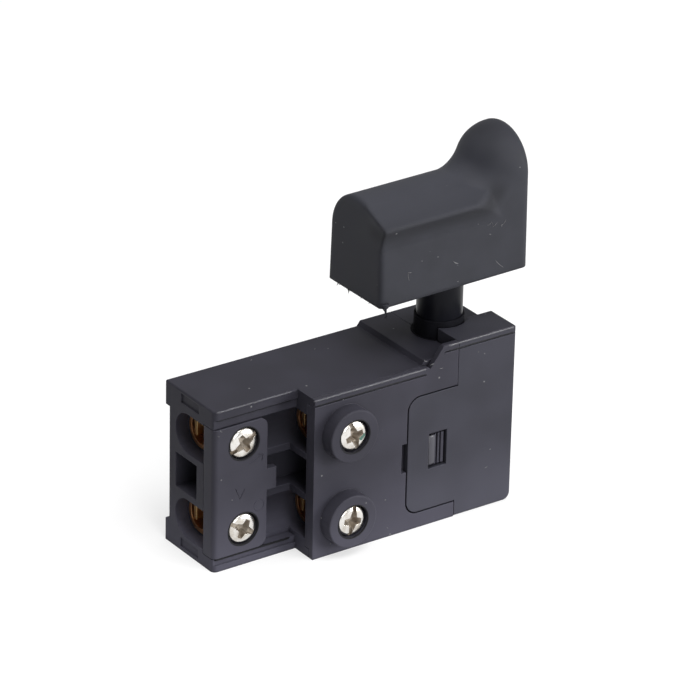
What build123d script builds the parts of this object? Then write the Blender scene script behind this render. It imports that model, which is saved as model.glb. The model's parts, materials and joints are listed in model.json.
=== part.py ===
from build123d import *
import math
import os

# Trigger switch for a hand power tool. Millimetres. The origin is on the bottom face under the
# plunger axis: +Z is up the plunger, +X towards the end cap, -Y the side with the terminal screws.

# Case
plunger_from_end = 49.0
plunger_to_cap_end = 9.0
body_depth = 20.0
body_height = 30.0
terminal_length = 16.6
terminal_step = 5.1
cap_length = 12.1
cap_corner = 1.4
cap_edge = 0.35
collar_rise = 0.8
collar_from_cap = 6.3
collar_ramp = 0.6
block_rise = 3.2
block_depth = 7.0
block_from_cap = 4.3
notch_top = 1.3
notch_foot = 1.5
notch_drop = 0.4
wall = 1.6
roof = 1.4
joint_gap = 0.12
seam = 0.3

# Front cover and its bosses
cover_flange = 1.1
cover_inner = 1.2
boss_radius = 4.8
boss_height = 2.8
boss_rim = 0.25
bead_width = 1.1
bead_round = 0.3
groove = 0.3

# Terminal cover
plate_length = 10.6
plate_thick = 3.2
plate_bottom = 2.35
plate_top_drop = 3.35
plate_corner = 1.6
tab_length = 1.9
tab_height = 4.0
tab_thick = 1.2
lip_band = 1.65
lip_recess = 0.35
lower_band = 1.2

# Terminals
terminal_low = 6.75
terminal_drop = 7.25
line_screw_from_end = 6.0
load_screw_from_step = 6.3
line_sleeve_depth = 8.1
load_sleeve_depth = 6.2
entry_radius = 3.6
sleeve_radius = 3.2
sleeve_bore = 2.5
sleeve_front = 3.8
sleeve_length = 7.0
channel_gap = 0.1
square_hole = 6.4
square_depth = 9.5
square_shift = 0.3
step_hole_depth = 6.0
web = 1.2

# Terminal screws
head_radius = 2.8
head_height = 2.0
head_gap = 0.2
boss_sink = 0.4
plate_sink = 0.1
shank_radius = 1.5
shank_length = 6.0
shank_gap = 0.2
thread_gap = 0.05
slot_width = 0.7
slot_depth = 0.8
cross_arm = 1.5
head_round = 0.6
slot_turns = {"line_lower": -31, "line_upper": 29, "load_lower": 80, "load_upper": -74}

# Conducting strips and contacts
strip = 0.8
strip_width = 3.0
strip_offset = 1.1
strip_gap = 0.1
bend = 0.9
tongue_reach = 3.3
leg_half = 1.2
tip_radius = 1.1
tip_height = 0.65
tip_arm = 3.4
tip_rim = 0.2
contact_back = 1.5
barrier_length = 8.1

# Rockers
pivot_x = -9.05
pivot_radius = 0.7
pivot_gap = 0.05
pivot_stand = 0.3
rocker_face = 0.4
rocker_thick = 0.9
rocker_width = 4.0
rocker_half = 4.5
rocker_tilt = 7.0
rocker_corner = 0.8

# Back and end recesses of the main moulding
back_recess = 1.4
back_recess_length = 13.0
back_recess_bottom = 4.0
back_recess_drop = 4.4
corner_round = 0.9
back_corner = 0.3
end_mark_depth = 0.25
end_mark_y = 2.45
end_mark_half = 2.7
end_mark_height = 1.7
end_mark_low = 0.7
end_mark_drop = 0.5

# Plunger, pushers and springs
stem_radius = 4.0
stem_bore_gap = 0.3
stem_top_radius = 3.3
stem_socket = 8.0
carriage_left = 5.2
carriage_right = 5.0
carriage_half = 5.5
carriage_bottom = 8.0
running = 0.1
rail_width = 3.0
rib_gap = 0.15
pusher_radius = 1.1
pusher_lift = 3.0
pusher_reach = 0.05
pusher_length = 3.9
pusher_bore_depth = 3.6
pusher_nose = 0.6
pusher_wire = 0.3
pusher_turns = 4
spring_x = 1.6
spring_radius = 2.0
spring_wire = 0.45
spring_turns = 9.5
coil_steps = 16
coil_sides = 8
spring_bore = 2.5
spring_bore_drop = 6.0
spring_rest = 0.05
peg_radius = 1.3
peg_height = 1.8

# Stem seal
seal_foot = 4.75
seal_neck = 4.35
seal_round = 0.15
seal_seat = 1.0
seal_height = 3.3
seal_gap = 0.07

# End cap tongue
tongue_length = 10.0
tongue_bottom = 3.1
tongue_drop = 5.1
tongue_thick = 1.1
tongue_corner = 2.3
tongue_root = 1.0
window_length = 3.8
window_height = 6.7
window_from_end = 4.3
pry_length = 1.0
pry_height = 5.5
nib_gap = 0.5
nib_height = 0.8
nib_groove = 0.35
nib_grooves = 3

# Trigger
trigger_left = 17.6
trigger_right = 13.3
trigger_lift = 12.0
trigger_half = 7.4
trigger_offset = 0.15
trigger_draft = 0.6
trigger_lean = 0.8
ridge_height = 17.7
horn_height = 24.5
horn_land = 1.6
horn_bend = 11.3
horn_angle = 66.0
trigger_wall = 1.8
end_wall = 1.5
trigger_rib = 1.3
end_round = 1.5
left_round = 0.7
lip_height = 14.6
lip_proud = 1.35
lip_neck = 0.6
lip_under = 1.5
lip_foot = 0.2
lip_flank = 4.5
lip_slope = 2.45
lip_crest = 0.6
lip_cove = 1.2
lip_end = 7.5
lip_fade = 0.35
socket_wall = 1.6
socket_gap = 0.05
rib_lift = 1.5
rib_places = (-10.5, 9.0)

# Derived places
left_x = -plunger_from_end
right_x = plunger_to_cap_end
step_x = left_x + terminal_length
split_x = right_x - cap_length
front_y = -body_depth / 2
back_y = body_depth / 2
plate_y = front_y + terminal_step
flange_y = front_y + cover_flange
inner_y = flange_y + cover_inner
collar_z = body_height + collar_rise
block_z = body_height + block_rise
block_y = front_y + block_depth
block_x = split_x - block_from_cap
cavity_top = body_height - roof
terminal_z = {"lower": terminal_low, "upper": body_height - terminal_drop}
terminal_mid = sum(terminal_z.values()) / 2
line_x = left_x + line_screw_from_end
load_x = step_x + load_screw_from_step
line_y = plate_y + line_sleeve_depth
load_y = front_y + load_sleeve_depth
plate_back = plate_y + plate_thick
plate_top = body_height - plate_top_drop
plate_x = left_x + plate_length
channel = sleeve_radius + channel_gap
load_wall_x = load_x + sleeve_length / 2
cavity_x = load_wall_x + wall
barrier_x = cavity_x + barrier_length
back_wall_y = back_y - wall
fixed_face_x = pivot_x - contact_back
tongue_top = body_height - tongue_drop
tongue_middle = (tongue_bottom + tongue_top) / 2
spring_bore_top = body_height - spring_bore_drop
trigger_bottom = body_height + trigger_lift
trigger_ridge = trigger_bottom + ridge_height
horn_top = trigger_bottom + horn_height
horn_x = trigger_right - horn_land


def block(x0, x1, y0, y1, z0, z1):
    return Pos((x0 + x1) / 2, (y0 + y1) / 2, (z0 + z1) / 2) * Box(x1 - x0, y1 - y0, z1 - z0)


def rod_x(y, z, radius, x0, x1):
    return Pos((x0 + x1) / 2, y, z) * Rot(0, 90, 0) * Cylinder(radius, x1 - x0)


def rod_y(x, z, radius, y0, y1):
    return Pos(x, (y0 + y1) / 2, z) * Rot(90, 0, 0) * Cylinder(radius, y1 - y0)


def rod_z(x, y, radius, z0, z1):
    return Pos(x, y, (z0 + z1) / 2) * Cylinder(radius, z1 - z0)


def side_plate(points, y0, y1):
    """A flat outline in X and Z, carried from y0 to y1."""
    outline = make_face(Plane.XZ * Polyline(*points, close=True))
    return Pos(0, y1, 0) * extrude(outline, amount=y1 - y0)


def channel_cut(x0, x1, axis_y, mouth_y, z, radius):
    """A wire channel: round at the back, with straight walls to its open front."""
    return rod_x(axis_y, z, radius, x0, x1) + block(x0, x1, mouth_y, axis_y, z - radius, z + radius)


def round_left(plate, x0, radius):
    """Rounds the corners of a plate's left end, seen from the front."""
    edges = plate.edges().filter_by(Axis.Y).filter_by_position(Axis.X, x0 - 0.01, x0 + 0.01)
    return fillet(edges, radius)


def case_outline(x0, x1):
    """Side outline of the case between two places: lower top, ramp and collar level."""
    ramp_x = split_x - collar_from_cap
    points = [(x0, 0), (x1, 0), (x1, collar_z)]
    if x0 < ramp_x:
        points += [(ramp_x, collar_z), (ramp_x - collar_ramp, body_height), (x0, body_height)]
    else:
        points += [(x0, collar_z)]
    return points


def stem_well():
    """The hole for the stem, and above it the seat of its seal."""
    hole = rod_z(0, 0, stem_radius + stem_bore_gap, cavity_top - 1, block_z + 1)
    seat = rod_z(0, 0, seal_foot + seal_gap, collar_z - seal_seat, block_z + 1)
    return hole + seat


def side_block(side, x0, x1, depth0, depth1, z0, z1):
    """A block placed by its depth under the front (side -1) or the back (side 1) of the case."""
    y0 = side * (back_y - depth0)
    y1 = side * (back_y - depth1)
    return block(x0, x1, min(y0, y1), max(y0, y1), z0, z1)


def tongue_plate(side, grow, depth0, depth1):
    """The rounded outline of a clip tongue of the end cap, or with grow the seat for it."""
    x0 = split_x - tongue_length - grow
    x1 = split_x + tongue_root
    plate = side_block(side, x0, x1, depth0, depth1, tongue_bottom - grow, tongue_top + grow)
    return round_left(plate, x0, tongue_corner + grow)


def tongue(side):
    window_x = split_x - tongue_length + window_from_end
    window = side_block(
        side, window_x, window_x + window_length, -1, tongue_thick + 1,
        tongue_middle - window_height / 2, tongue_middle + window_height / 2,
    )
    return tongue_plate(side, 0, 0, tongue_thick) - window


def tongue_seat(side):
    """The seat of a tongue with a small notch for prying it up."""
    depth = tongue_thick + joint_gap
    end_x = split_x - tongue_length
    pry = side_block(
        side, end_x - seam - pry_length, end_x, -1, depth,
        tongue_middle - pry_height / 2, tongue_middle + pry_height / 2,
    )
    return tongue_plate(side, seam, -1, depth) + pry


def nib(side):
    """The grooved catch that stands in the window of a tongue."""
    x0 = split_x - tongue_length + window_from_end + nib_gap
    z0 = tongue_middle - window_height / 2 + nib_gap
    x1 = x0 + window_length - 2 * nib_gap
    z1 = z0 + window_height - 2 * nib_gap
    face = tongue_thick - nib_height
    shape = side_block(side, x0, x1, face, tongue_thick + 2 * joint_gap, z0, z1)
    for count in range(nib_grooves):
        x = x0 + (x1 - x0) * (count + 1) / (nib_grooves + 1)
        shape -= side_block(
            side, x - nib_groove / 2, x + nib_groove / 2, face - 1, face + nib_groove, z0 - 1, z1 + 1
        )
    return shape


def housing():
    shape = side_plate(case_outline(left_x, split_x), flange_y, back_y)
    shape -= block(left_x - 1, step_x, flange_y - 1, plate_y, -1, block_z)
    ends = shape.edges().filter_by(Axis.Z).filter_by_position(Axis.X, left_x - 0.01, left_x + 0.01)
    shape = fillet(ends.sort_by(Axis.Y)[-1], back_corner)
    ends = shape.edges().filter_by(Axis.Z).filter_by_position(Axis.X, left_x - 0.01, left_x + 0.01)
    shape = fillet(ends.sort_by(Axis.Y)[0], corner_round)
    lip_top = shape.edges().filter_by_position(Axis.Z, body_height - 0.01, body_height + 0.01)
    lip_top = lip_top.filter_by(Axis.X).filter_by_position(Axis.Y, plate_y - 0.01, plate_y + 0.01)
    shape = fillet(lip_top, bead_round)
    shape -= block(step_x - 1, split_x + 1, flange_y - 1, inner_y, wall, cavity_top)
    shape -= mechanism_cavity()
    shape -= terminal_cuts()
    shape -= block(
        left_x - 1, left_x + back_recess_length, back_y - back_recess, back_y + 1,
        back_recess_bottom, body_height - back_recess_drop,
    )
    shape -= stem_well()
    shape -= tongue_seat(1)
    return shape + nib(1)


def mechanism_cavity():
    """Room for contacts and carriage, less the ledge behind the strips and the barrier of the poles."""
    cavity = block(cavity_x, split_x + 1, inner_y - 1, -inner_y, wall, cavity_top)
    ledge_y = line_y + strip_offset + strip + strip_gap
    cavity -= block(cavity_x, barrier_x, ledge_y, -inner_y, wall, cavity_top)
    cavity -= block(cavity_x, barrier_x, inner_y, -inner_y, terminal_mid - web / 2, terminal_mid + web / 2)
    return cavity


def terminal_cuts():
    """Everything that is cut from the front and the left end for wires, sleeves and strips."""
    cuts = block(left_x - 1, plate_x + joint_gap, plate_y - 1, plate_back, plate_bottom, plate_top)
    cuts += block(plate_x - 1, step_x, plate_y - 1, plate_back - web, plate_bottom, plate_top)
    line_start = line_x - sleeve_length / 2
    load_start = load_x - sleeve_length / 2
    for z in terminal_z.values():
        cuts += channel_cut(left_x - 1, line_start, line_y, plate_back - 1, z, entry_radius)
        cuts += channel_cut(line_start, line_x + sleeve_length / 2, line_y, plate_back - 1, z, channel)
        cuts += channel_cut(plate_x, step_x, load_y, plate_y - 1, z, entry_radius)
        cuts += channel_cut(step_x - 1, load_start, load_y, inner_y - 1, z, entry_radius)
        cuts += channel_cut(load_start, load_wall_x, load_y, inner_y - 1, z, channel)
        cuts += line_slot(z) + load_slot(z)
    middle_y = line_y + square_shift
    half = square_hole / 2
    cuts += block(
        left_x - 1, left_x + square_depth, middle_y - half, middle_y + half,
        terminal_mid - half, terminal_mid + half,
    )
    cuts += block(
        plate_x, step_x, plate_y - 1, load_y + entry_radius, terminal_mid - half, terminal_mid + half
    )
    cuts += block(
        step_x - 1, step_x + step_hole_depth, inner_y - 1, load_y + entry_radius,
        terminal_mid - half, terminal_mid + half,
    )
    lip_y = plate_y + lip_recess
    cuts += block(left_x - 1, step_x, plate_y - 1, lip_y, plate_top - 0.01, body_height - lip_band)
    cuts += block(left_x - 1, step_x, plate_y - 1, lip_y, lower_band, plate_bottom + 0.01)
    for z in (end_mark_low, body_height - end_mark_drop - end_mark_height):
        cuts += block(
            left_x - 1, left_x + end_mark_depth, end_mark_y - end_mark_half, end_mark_y + end_mark_half,
            z, z + end_mark_height,
        )
    return cuts


def line_slot(z):
    """The slot that carries a line strip behind the pocket to the contacts."""
    y0 = line_y + strip_offset - strip_gap
    half = strip_width / 2 + strip_gap
    return block(line_x, cavity_x, y0, y0 + strip + 2 * strip_gap, z - half, z + half)


def load_slot(z):
    """The slot that carries a load strip through the wall behind its sleeve."""
    half = strip_width / 2 + strip_gap
    return block(
        load_wall_x - 0.01, cavity_x + 0.01, inner_y - 1, load_y + strip_offset + strip + strip_gap,
        z - half, z + half,
    )


def front_cover():
    outline = [
        (step_x, 0),
        (split_x, 0),
        (split_x, block_z),
        (block_x + notch_top, block_z),
        (block_x - notch_foot, body_height - notch_drop),
        (block_x - notch_foot - notch_drop, body_height),
        (step_x, body_height),
    ]
    shape = side_plate(outline, front_y, flange_y - joint_gap)
    shape = fillet(top_front_edges(shape, body_height) + top_front_edges(shape, block_z), bead_round)
    shape += block(step_x, split_x, flange_y - joint_gap, inner_y, wall + joint_gap, cavity_top - joint_gap)
    for z in terminal_z.values():
        shape += rod_y(load_x, z, boss_radius, front_y - boss_height, front_y + cover_flange / 2)
    rims = shape.edges().filter_by(GeomType.CIRCLE).filter_by_position(
        Axis.Y, front_y - boss_height - 0.01, front_y - boss_height + 0.01
    )
    shape = fillet(rims, boss_rim)
    for z in terminal_z.values():
        shape -= screw_hole(load_x, z, front_y - boss_height, boss_sink, inner_y)
    shape -= bead_groove(step_x - 1, block_x - notch_foot - 2 * notch_drop, body_height)
    shape -= bead_groove(block_x + notch_top, split_x + 1, block_z)
    shape -= tongue_seat(-1)
    return shape + nib(-1)


def top_front_edges(shape, top):
    """The edges along the top of the front face at one height."""
    edges = shape.edges().filter_by(Axis.X).filter_by_position(Axis.Y, front_y - 0.01, front_y + 0.01)
    return edges.filter_by_position(Axis.Z, top - 0.01, top + 0.01)


def bead_groove(x0, x1, top):
    """The shallow groove that sets the bead off from the front face."""
    z = top - bead_width
    return block(x0, x1, front_y - 1, front_y + groove, z - groove, z)


def screw_hole(x, z, face_y, sink, inner):
    """A round recess for a screw head, and the hole for its shank."""
    seat_y = face_y + sink + head_height
    recess = rod_y(x, z, head_radius + head_gap, face_y - 1, seat_y)
    return recess + rod_y(x, z, shank_radius + shank_gap, seat_y - 0.01, inner + 1)


def terminal_cover():
    low = plate_bottom + joint_gap
    high = plate_top - joint_gap
    shape = block(left_x, plate_x, plate_y, plate_back - joint_gap, low, high)
    right = shape.edges().filter_by(Axis.Y).filter_by_position(Axis.X, plate_x - 0.01, plate_x + 0.01)
    shape = fillet(right, plate_corner)
    left = shape.edges().filter_by(Axis.Z).filter_by_position(Axis.X, left_x - 0.01, left_x + 0.01)
    left = left.filter_by_position(Axis.Y, plate_y - 0.01, plate_y + 0.01)
    shape = fillet(left, corner_round)
    shape += block(
        plate_x - 1, plate_x + tab_length, plate_y, plate_y + tab_thick,
        terminal_mid - tab_height / 2, terminal_mid + tab_height / 2,
    )
    for z in terminal_z.values():
        shape -= screw_hole(line_x, z, plate_y, plate_sink, plate_back)
    return shape


def end_cap():
    shape = side_plate(case_outline(split_x + joint_gap, right_x), front_y, back_y)
    shape += block(split_x + joint_gap, right_x, front_y, block_y, body_height, block_z)
    corner = shape.edges().filter_by(Axis.Y).filter_by_position(Axis.Z, -0.01, 0.01)
    corner = corner.filter_by_position(Axis.X, right_x - 0.01, right_x + 0.01)
    shape = fillet(corner, cap_corner)
    upright = shape.edges().filter_by(Axis.Z).filter_by_position(Axis.X, right_x - 0.01, right_x + 0.01)
    shape = fillet(upright.filter_by_position(Axis.Y, front_y - 0.01, front_y + 0.01), cap_edge)
    shape = fillet(top_front_edges(shape, block_z), bead_round)
    inner_x = right_x - wall
    shape -= block(split_x, inner_x, front_y + wall, back_wall_y, wall, cavity_top)
    for side in (-1, 1):
        wall_y = side * back_wall_y
        rib_y = side * (carriage_half + rib_gap)
        for x in (-rail_width / 2 - running - web, rail_width / 2 + running):
            shape += block(x, x + web, min(wall_y, rib_y), max(wall_y, rib_y), wall, cavity_top)
    shape += rod_z(spring_x, 0, peg_radius, wall - 0.01, wall + peg_height)
    shape -= stem_well()
    shape -= bead_groove(split_x, right_x + 1, block_z)
    return shape + tongue(-1) + tongue(1)


def sleeve(x, y, z):
    """A brass clamp sleeve: round bore, round back, flat thick front that takes the screw."""
    x0 = x - sleeve_length / 2
    x1 = x + sleeve_length / 2
    shape = rod_x(y, z, sleeve_radius, x0, x1)
    shape += block(x0, x1, y - sleeve_front, y, z - sleeve_radius, z + sleeve_radius)
    shape -= rod_x(y, z, sleeve_bore, x0 - 1, x1 + 1)
    shape -= rod_y(x, z, shank_radius + thread_gap, y - sleeve_front - 1, y)
    return shape


def screw(x, z, face_y, sink, turn):
    """A pan head screw with a slot and a cross. Its head lies sink under face_y."""
    head_y = face_y + sink
    seat_y = head_y + head_height
    shape = rod_y(x, z, head_radius, head_y, seat_y)
    shape = chamfer(shape.edges().filter_by_position(Axis.Y, head_y - 0.01, head_y + 0.01), head_round)
    shape += rod_y(x, z, shank_radius, seat_y, seat_y + shank_length)
    drive = Box(2 * head_radius + 1, 2 * slot_depth, slot_width)
    drive += Box(slot_width, 2 * slot_depth, 2 * cross_arm)
    return shape - Pos(x, head_y, z) * Rot(0, -turn, 0) * drive


def line_strip(z):
    """From a line sleeve along the back, then bent across as the knife edge of a rocker."""
    y0 = line_y + strip_offset
    y1 = y0 + strip
    leg_x1 = pivot_x - pivot_stand
    leg_x0 = leg_x1 - strip
    end_y = -rocker_width / 2
    start_x = line_x - tongue_reach
    shape = block(start_x, leg_x1, y0, y1, z - strip_width / 2, z + strip_width / 2)
    shape -= block(leg_x0 - strip, leg_x1, y0, y1, z + leg_half, z + strip_width)
    shape -= block(leg_x0 - strip, leg_x1, y0, y1, z - strip_width, z - leg_half)
    shape += block(leg_x0, leg_x1, end_y, y1, z - leg_half, z + leg_half)
    outer = shape.edges().filter_by(Axis.Z).filter_by_position(Axis.X, leg_x1 - 0.01, leg_x1 + 0.01)
    outer = outer.filter_by_position(Axis.Y, y1 - 0.01, y1 + 0.01)
    shape = fillet(outer, bend)
    return shape + rod_y(pivot_x, z, pivot_radius, end_y, -end_y)


def load_strip(z):
    """From a load sleeve to the contacts, where a tab goes down and is bent across to hold the tip."""
    y0 = load_y + strip_offset
    y1 = y0 + strip
    tab_z0 = z - tip_arm - tip_radius - tip_rim
    tab_z1 = z - tip_arm + tip_radius + tip_rim
    tab_x0 = fixed_face_x - strip
    start_x = load_x - tongue_reach
    shape = block(start_x, tab_x0 - strip_width / 2, y0, y1, z - strip_width / 2, z + strip_width / 2)
    drop_x0 = tab_x0 - strip_width
    shape += block(drop_x0, tab_x0 - strip_width / 2, y0, y1, tab_z0, z + strip_width / 2)
    shape += block(drop_x0, fixed_face_x, y0, y1, tab_z0, tab_z1)
    shape += block(tab_x0, fixed_face_x, y0, rocker_width / 2, tab_z0, tab_z1)
    return shape


def fixed_tip(z):
    """A silver contact on its load strip."""
    return rod_x(0, z - tip_arm, tip_radius, fixed_face_x, fixed_face_x + tip_height)


def tilted(shape, z):
    """Turns a rocker piece about its pivot into the rest position."""
    return Pos(pivot_x, 0, z) * Rot(0, -rocker_tilt, 0) * shape


def rocker(z):
    """A copper seesaw, grooved at its middle to sit on the knife edge."""
    half = rocker_width / 2
    plate = block(rocker_face, rocker_face + rocker_thick, -half, half, -rocker_half, rocker_half)
    ends = plate.edges().filter_by(Axis.X)
    plate = fillet(ends, rocker_corner)
    plate -= rod_y(0, 0, pivot_radius + pivot_gap, -half - 1, half + 1)
    return tilted(plate, z)


def moving_tip(z):
    tip = rod_x(0, -tip_arm, tip_radius, rocker_face - tip_height, rocker_face)
    return tilted(tip, z)


def pusher_place(z):
    """X of the pusher's nose and of its back end, and its height at rest."""
    nose_x = pivot_x + rocker_face + rocker_thick + pusher_reach
    return nose_x, nose_x + pusher_length, z + pusher_lift


def pusher(z):
    nose_x, tail_x, z_rest = pusher_place(z)
    shape = rod_x(0, z_rest, pusher_radius, nose_x, tail_x)
    nose = shape.edges().filter_by_position(Axis.X, nose_x - 0.01, nose_x + 0.01)
    return fillet(nose, pusher_nose)


def coil(radius, wire, height, turns):
    """A wire spring about Z, standing on the origin, wound in short straight steps."""
    count = round(turns * coil_steps)
    rise = (height - wire) / count
    step = 2 * math.pi / coil_steps
    path = Polyline(*[
        (radius * math.cos(i * step), radius * math.sin(i * step), wire / 2 + i * rise)
        for i in range(count + 1)
    ])
    section = Plane(origin=path @ 0, z_dir=path % 0) * RegularPolygon(wire / 2, coil_sides)
    return sweep(section, path=path, transition=Transition.RIGHT)


def pusher_spring(z):
    _, tail_x, z_rest = pusher_place(z)
    length = -carriage_left + pusher_bore_depth - tail_x
    spring = coil(pusher_radius - pusher_wire / 2, pusher_wire, length - 2 * spring_rest, pusher_turns)
    return Pos(tail_x + spring_rest, 0, z_rest) * Rot(0, 90, 0) * spring


def plunger():
    """The stem and the carriage, moulded in one."""
    rest_top = cavity_top - running
    shape = block(-carriage_left, carriage_right, -carriage_half, carriage_half, carriage_bottom, rest_top)
    rail = back_wall_y - running
    shape += block(-rail_width / 2, rail_width / 2, -rail, rail, carriage_bottom, rest_top)
    shape += rod_z(0, 0, stem_radius, rest_top - 0.01, trigger_bottom)
    shape += rod_z(0, 0, stem_top_radius, trigger_bottom - 0.01, trigger_bottom + stem_socket)
    shape -= rod_z(spring_x, 0, spring_bore, carriage_bottom - 1, spring_bore_top)
    for z in terminal_z.values():
        z_rest = z + pusher_lift
        bore_end = pusher_bore_depth - carriage_left
        shape -= rod_x(0, z_rest, pusher_radius + running, -carriage_left - 1, bore_end)
    return shape


def return_spring():
    height = spring_bore_top - wall - 2 * spring_rest
    spring = coil(spring_radius, spring_wire, height, spring_turns)
    return Pos(spring_x, 0, wall + spring_rest) * spring


def stem_seal():
    """A soft ring round the stem, with a foot in the collar."""
    inner = stem_radius + seal_gap
    foot_z = collar_z - seal_seat
    top_z = collar_z + seal_height
    outline = [
        (inner, foot_z),
        (seal_foot, foot_z),
        (seal_foot, collar_z),
        (seal_neck, collar_z),
        (seal_neck, top_z - seal_round),
        (seal_neck - seal_round, top_z),
        (inner, top_z),
    ]
    return revolve(make_face(Plane.XZ * Polyline(*outline, close=True)), Axis.Z)


def horn_path():
    """The middle line of the round top: its lower and upper height, and where the bend begins and ends."""
    low_z = trigger_ridge - trigger_half
    high_z = horn_top - trigger_half
    angle = math.radians(horn_angle)
    bend_rise = horn_bend * (1 - math.cos(angle))
    slope_run = (high_z - low_z - bend_rise) / math.tan(angle)
    start = Vector(horn_x - slope_run - horn_bend * math.sin(angle), 0, low_z)
    end = Vector(horn_x - slope_run, 0, low_z + bend_rise)
    return start, end, Vector(horn_x, 0, high_z)


def half_disc(radius):
    disc = Plane.YZ * Circle(radius)
    return disc & Plane.YZ * Pos(0, radius) * Rectangle(4 * radius, 2 * radius)


def along_top(section, x0, x1):
    """Carries a section along the middle line: along the ridge, up the bend and over the horn."""
    start, end, dome = horn_path()
    along = (1, 0, 0)
    bend_axis = Axis((start.X, 0, start.Z + horn_bend), (0, -1, 0))
    dome_axis = Axis((dome.X, 0, dome.Z), (0, 1, 0))
    tilt = Rot(0, -horn_angle, 0)
    bar = extrude(Pos(x0, 0, start.Z) * section, amount=start.X - x0, dir=along)
    bar += revolve(Pos(start.X, 0, start.Z) * section, bend_axis, horn_angle)
    bar += Pos(end.X, 0, end.Z) * tilt * extrude(section, amount=(dome - end).length, dir=along)
    bar += revolve(Pos(dome.X, 0, dome.Z) * tilt * section, dome_axis, horn_angle)
    bar += extrude(Pos(dome.X, 0, dome.Z) * section, amount=x1 - dome.X, dir=along)
    return bar


def flat_sides(half, x0, x1, bottom):
    """The straight-sided part below the middle line of the round top."""
    start, end, dome = horn_path()
    half_angle = math.radians(horn_angle / 2)
    middle = (
        start.X + horn_bend * math.sin(half_angle),
        start.Z + horn_bend * (1 - math.cos(half_angle)),
    )
    edges = [
        Line((x0, bottom), (x0, start.Z)),
        Line((x0, start.Z), (start.X, start.Z)),
        ThreePointArc((start.X, start.Z), middle, (end.X, end.Z)),
        Line((end.X, end.Z), (dome.X, dome.Z)),
        Line((dome.X, dome.Z), (x1, dome.Z)),
        Line((x1, dome.Z), (x1, bottom)),
        Line((x1, bottom), (x0, bottom)),
    ]
    return extrude(make_face(Plane.XZ * Curve(edges)), amount=half, both=True)


def trigger_solid(half, x0, x1, bottom):
    return along_top(half_disc(half), x0, x1) + flat_sides(half, x0, x1, bottom)


def back_taper():
    """The wedge that makes the back side wider towards the open underside."""
    start, _, _ = horn_path()
    outline = [
        (0, start.Z),
        (trigger_half, start.Z),
        (trigger_half + trigger_draft, trigger_bottom),
        (0, trigger_bottom),
    ]
    section = Plane.YZ * make_face(Polyline(*outline, close=True))
    return extrude(Pos(-trigger_left, 0, 0) * section, amount=trigger_left + trigger_right, dir=(1, 0, 0))


def lip():
    """The raised flank on the front side: flat on top, undercut below, and fading out before the bend."""
    middle = trigger_ridge - trigger_half
    edge = lip_height + trigger_bottom - middle
    inner = -trigger_half + lip_flank
    outline = [
        (-trigger_half, lip_foot),
        (-trigger_half - lip_neck, edge - lip_under),
        (-trigger_half - lip_proud, edge),
        (inner, edge + lip_slope),
        (inner, lip_foot),
    ]
    section = make_face(Polyline(*outline, close=True))
    section = fillet(section.vertices().sort_by(Axis.X)[0], lip_crest)
    neck = section.vertices().filter_by_position(Axis.Y, edge - lip_under - 0.01, edge - lip_under + 0.01)
    section = Plane.YZ * fillet(neck, lip_cove)
    length = lip_end + trigger_left
    end_radius = trigger_half - joint_gap
    bar = extrude(Pos(-trigger_left, 0, middle) * section, amount=length, dir=(1, 0, 0))
    fade = Cone(end_radius + lip_fade * length, end_radius, length)
    return bar & Pos((lip_end - trigger_left) / 2, 0, middle) * Rot(0, 90, 0) * fade


def trigger_hollow():
    """The open underside, with a boss for the stem and ribs that hold the thin walls."""
    inside = trigger_half - trigger_wall
    x0 = -trigger_left + trigger_wall
    x1 = trigger_right - end_wall
    hollow = trigger_solid(inside, x0, x1, trigger_bottom - 1)
    hollow -= rod_z(0, 0, stem_top_radius + socket_wall, trigger_bottom - 2, horn_top)
    half = trigger_rib / 2
    hollow -= block(x0 - 1, x1 + 1, -half, half, trigger_bottom + rib_lift, horn_top)
    for x in rib_places:
        hollow -= block(x - half, x + half, -trigger_half, trigger_half, trigger_bottom + rib_lift, horn_top)
    return hollow


def trigger():
    """Built upright about the stem, then leaned back a little and bored for the stem."""
    shape = trigger_solid(trigger_half, -trigger_left, trigger_right, trigger_bottom) + back_taper()
    for x, radius in ((trigger_right, end_round), (-trigger_left, left_round)):
        end = shape.faces().filter_by(Axis.X).sort_by(Axis.X)[-1 if x > 0 else 0]
        rim = [edge for edge in end.edges() if edge.bounding_box().max.Z > trigger_bottom + 1]
        shape = fillet(rim, radius)
    shape += lip()
    shape -= trigger_hollow()
    lean = Pos(0, trigger_offset, trigger_bottom) * Rot(0, -trigger_lean, 0) * Pos(0, 0, -trigger_bottom)
    shape = lean * shape
    shape -= rod_z(0, 0, stem_radius + socket_gap, trigger_bottom - 1, trigger_bottom)
    socket_top = trigger_bottom + stem_socket + socket_gap
    return shape - rod_z(0, 0, stem_top_radius + socket_gap, trigger_bottom - 1, socket_top)


parts = {
    "housing": housing(),
    "front_cover": front_cover(),
    "terminal_cover": terminal_cover(),
    "end_cap": end_cap(),
    "plunger": plunger(),
    "trigger": trigger(),
    "stem_seal": stem_seal(),
    "return_spring": return_spring(),
}
for level, height in terminal_z.items():
    parts["line_sleeve_" + level] = sleeve(line_x, line_y, height)
    parts["load_sleeve_" + level] = sleeve(load_x, load_y, height)
    parts["line_screw_" + level] = screw(line_x, height, plate_y, plate_sink, slot_turns["line_" + level])
    parts["load_screw_" + level] = screw(
        load_x, height, front_y - boss_height, boss_sink, slot_turns["load_" + level]
    )
    parts["line_strip_" + level] = line_strip(height)
    parts["load_strip_" + level] = load_strip(height)
    parts["fixed_tip_" + level] = fixed_tip(height)
    parts["moving_tip_" + level] = moving_tip(height)
    parts["rocker_" + level] = rocker(height)
    parts["pusher_" + level] = pusher(height)
    parts["pusher_spring_" + level] = pusher_spring(height)

os.makedirs("parts", exist_ok=True)
for name, shape in parts.items():
    export_step(shape, "parts/" + name + ".step")
    print(name, round(shape.volume, 1), len(shape.solids()))
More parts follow.
